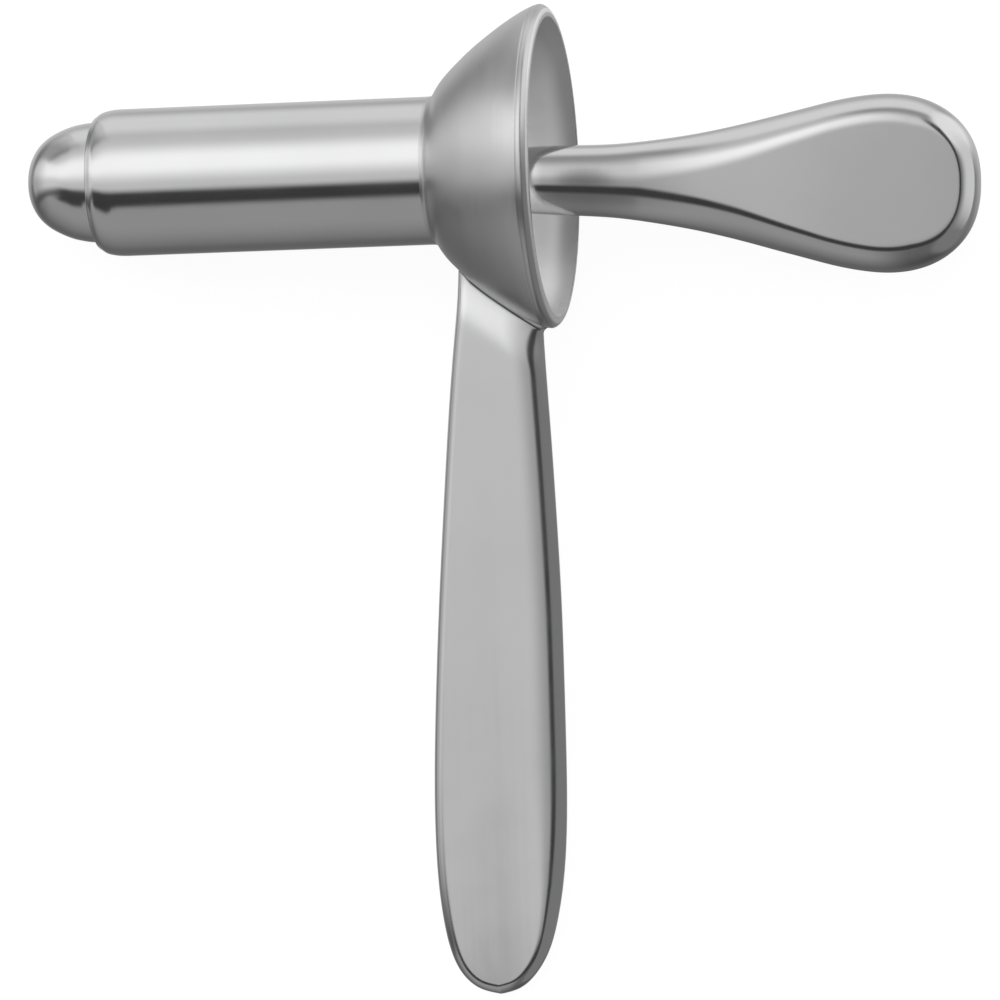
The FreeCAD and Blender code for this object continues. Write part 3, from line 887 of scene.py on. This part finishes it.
fm = bpy.data.meshes.new("floor")
S = 4.0
fm.from_pydata([(-S, -S, 0), (S, -S, 0), (S, S, 0), (-S, S, 0)], [],
               [(0, 1, 2, 3)])
floor = bpy.data.objects.new("floor", fm)
floor.location = (0, 0, -0.0004)
fm.materials.append(glow("table", 0.92, 0.20))
bpy.context.collection.objects.link(floor)
floor.visible_glossy = False
floor.visible_shadow = False

# pale room seen behind the object in views from the side
bm_ = bpy.data.meshes.new("room")
vv, ff = [], []
RN, RM = 48, 24
for i in range(RM + 1):
    t = math.pi * i / RM
    for j in range(RN):
        a = 2 * math.pi * j / RN
        vv.append((3.9 * math.sin(t) * math.cos(a),
                   3.9 * math.sin(t) * math.sin(a), 3.9 * math.cos(t)))
for i in range(RM):
    for j in range(RN):
        k = (j + 1) % RN
        ff.append((i * RN + j, i * RN + k, (i + 1) * RN + k, (i + 1) * RN + j))
bm_.from_pydata(vv, [], ff)
room = bpy.data.objects.new("room", bm_)
bm_.materials.append(glow("room_pale", 0.93))
bpy.context.collection.objects.link(room)
room.visible_glossy = False
room.visible_diffuse = False
room.visible_shadow = False
room.visible_transmission = False

# a small pale card close to the right of the grip, seen only in reflections
card_pts = [(79.0, -27.0, -38.0), (79.0, 20.0, -38.0),
            (77.0, 20.0, -4.0), (77.0, -27.0, -4.0)]
cm = bpy.data.meshes.new("side_card")
cm.from_pydata([tuple(v) for v in lay(card_pts)], [], [(0, 1, 2, 3)])
card = bpy.data.objects.new("side_card", cm)
card_mat = glow("card_pale", lin(192) / 0.65)
ct = card_mat.node_tree
g = ct.nodes.new("ShaderNodeTexCoord")
sep = ct.nodes.new("ShaderNodeSeparateXYZ")
ct.links.new(g.outputs["Generated"], sep.inputs[0])
masks = []
for axis, lo_, hi_, flip in (("Y", 0.0, 0.42, 0), ("Y", 0.62, 1.0, 1),
                             ("Z", 0.50, 1.0, 1)):
    r_ = ct.nodes.new("ShaderNodeMapRange")
    r_.interpolation_type = "SMOOTHSTEP"
    r_.inputs["From Min"].default_value = lo_
    r_.inputs["From Max"].default_value = hi_
    r_.inputs["To Min"].default_value = float(flip)
    r_.inputs["To Max"].default_value = 1.0 - flip
    ct.links.new(sep.outputs[axis], r_.inputs["Value"])
    masks.append(r_.outputs["Result"])
m1 = ct.nodes.new("ShaderNodeMath")
m1.operation = "MULTIPLY"
ct.links.new(masks[0], m1.inputs[0])
ct.links.new(masks[1], m1.inputs[1])
m2 = ct.nodes.new("ShaderNodeMath")
m2.operation = "MULTIPLY"
ct.links.new(m1.outputs[0], m2.inputs[0])
ct.links.new(masks[2], m2.inputs[1])
clear_ = ct.nodes.new("ShaderNodeBsdfTransparent")
mx = ct.nodes.new("ShaderNodeMixShader")
ct.links.new(m2.outputs[0], mx.inputs[0])
ct.links.new(clear_.outputs[0], mx.inputs[1])
em_ = [n for n in ct.nodes if n.type == "EMISSION"][0]
ct.links.new(em_.outputs[0], mx.inputs[2])
out_n = [n for n in ct.nodes if n.type == "OUTPUT_MATERIAL"][0]
ct.links.new(mx.outputs[0], out_n.inputs["Surface"])
cm.materials.append(card_mat)
bpy.context.collection.objects.link(card)
card.visible_camera = False
card.visible_diffuse = False
card.visible_shadow = False
card.visible_transmission = False

# ---------------------------------------------------------------------- light
# One large soft light in front, a dark surround, a bright band above and
# grey below and beside: directions are fixed in the scene.
world = bpy.data.worlds.new("studio")
bpy.context.scene.world = world
world.use_nodes = True
nt = world.node_tree
nt.nodes.clear()
WN, WL = nt.nodes.new, nt.links.new
w_out = WN("ShaderNodeOutputWorld")
bg = WN("ShaderNodeBackground")
WL(bg.outputs[0], w_out.inputs["Surface"])
co = WN("ShaderNodeTexCoord")


def dot(v):
    n = WN("ShaderNodeVectorMath")
    n.operation = "DOT_PRODUCT"
    WL(co.outputs["Generated"], n.inputs[0])
    n.inputs[1].default_value = tuple(float(q) for q in v)
    return n.outputs["Value"]


def math_(op, a, b=None, c=None):
    n = WN("ShaderNodeMath")
    n.operation = op
    for k, v in enumerate((a, b, c)):
        if v is None:
            continue
        if isinstance(v, (int, float)):
            n.inputs[k].default_value = v
        else:
            WL(v, n.inputs[k])
    return n.outputs[0]


def step(v, a, b, lo=0.0, hi=1.0):
    """Smooth step of v from lo at a to hi at b."""
    n = WN("ShaderNodeMapRange")
    n.interpolation_type = "SMOOTHSTEP"
    n.inputs["From Min"].default_value = min(a, b)
    n.inputs["From Max"].default_value = max(a, b)
    n.inputs["To Min"].default_value = lo if a < b else hi
    n.inputs["To Max"].default_value = hi if a < b else lo
    WL(v, n.inputs["Value"])
    return n.outputs["Result"]


def lerp(a, b, f):
    """a where f = 0, b where f = 1."""
    n = WN("ShaderNodeMix")
    n.data_type = "FLOAT"
    for k, v in (("A", a), ("B", b), ("Factor", f)):
        if isinstance(v, (int, float)):
            n.inputs[k].default_value = v
        else:
            WL(v, n.inputs[k])
    return n.outputs[0]


dr, du, db = dot(cam_r), dot(cam_u), dot(cam_b)
phi = math_("MULTIPLY", math_("ARCTAN2", du, db), 180 / math.pi)
REF = 0.65


def level(v):
    return lin(v) / REF


# nearness of the lights: their edges drift a little along the tube
near = WN("ShaderNodeMapRange")
near.inputs["From Min"].default_value = -0.390
near.inputs["From Max"].default_value = -0.345
near.inputs["To Min"].default_value = 1.0
near.inputs["To Max"].default_value = 0.0
WL(dr, near.inputs["Value"])
drift = near.outputs["Result"]
# below: grey that darkens towards the ground
below = lerp(level(138), level(78), step(phi, -75.0, -165.0))
below = math_("MULTIPLY", below, step(dr, -0.10, 0.30, 1.0, 0.42))
# above: bright band, with a shallow dip at its lower edge
fore = step(dr, -0.25, -0.02)
dip = lerp(level(178), level(138), fore)
above = lerp(dip, level(203), step(phi, 74.0, 97.0))
above = lerp(above, lerp(level(148), level(105), fore),
             step(phi, 112.0, 150.0))
above = math_("MULTIPLY", above, lerp(1.0, 0.80, drift))
above = math_("MULTIPLY", above, step(dr, -0.64, -0.40, 0.58, 1.0))
surround = lerp(below, above, step(phi, 0.0, 30.0))
# beside, to the right: grey, bright higher up
beside = lerp(level(112), level(218), step(du, 0.05, 0.45))
surround = lerp(surround, beside, step(dr, 0.42, 0.55))
# the large soft light and its gradient
key = lerp(level(184), level(240), step(phi, -10.0, 22.0))
key = lerp(key, level(186), step(phi, 34.0, 66.0))
key = lerp(key, math_("MULTIPLY", key, 0.62), step(dr, -0.20, 0.26))
# dark gap round it, strong below and to the right
low = math_("ADD", phi, lerp(3.0, 15.0, drift))
gap = math_("MULTIPLY", step(low, -47.0, -34.0), step(phi, 60.0, 30.0))
gap = math_("MULTIPLY", gap, step(dr, 0.58, 0.50))
light = lerp(surround, level(54), gap)
inside = math_("MULTIPLY", step(phi, -25.0, -12.5),
               step(math_("MULTIPLY_ADD", fore, 8.0, phi), 82.0, 62.0))
inside = math_("MULTIPLY", inside, step(dr, 0.37, 0.29))
light = lerp(light, key, inside)
# to the far left the light is graded by height alone
left = lerp(level(134), level(86), step(du, -0.44, -0.34))
left = lerp(left, level(182), step(du, -0.31, -0.09))
left = lerp(left, level(222), step(du, 0.0, 0.25))
left = lerp(left, level(170), step(du, 0.45, 0.62))
left = math_("MULTIPLY", left, step(db, -0.35, 0.32, 0.72, 1.16))
light = lerp(light, left, step(dr, -0.74, -0.90))
# and behind the part
behind = lerp(level(92), level(175), step(du, -0.40, 0.30))
light = lerp(light, behind, step(db, -0.55, -0.88))
WL(light, bg.inputs["Strength"])
bg.inputs["Color"].default_value = (1, 1, 1, 1)
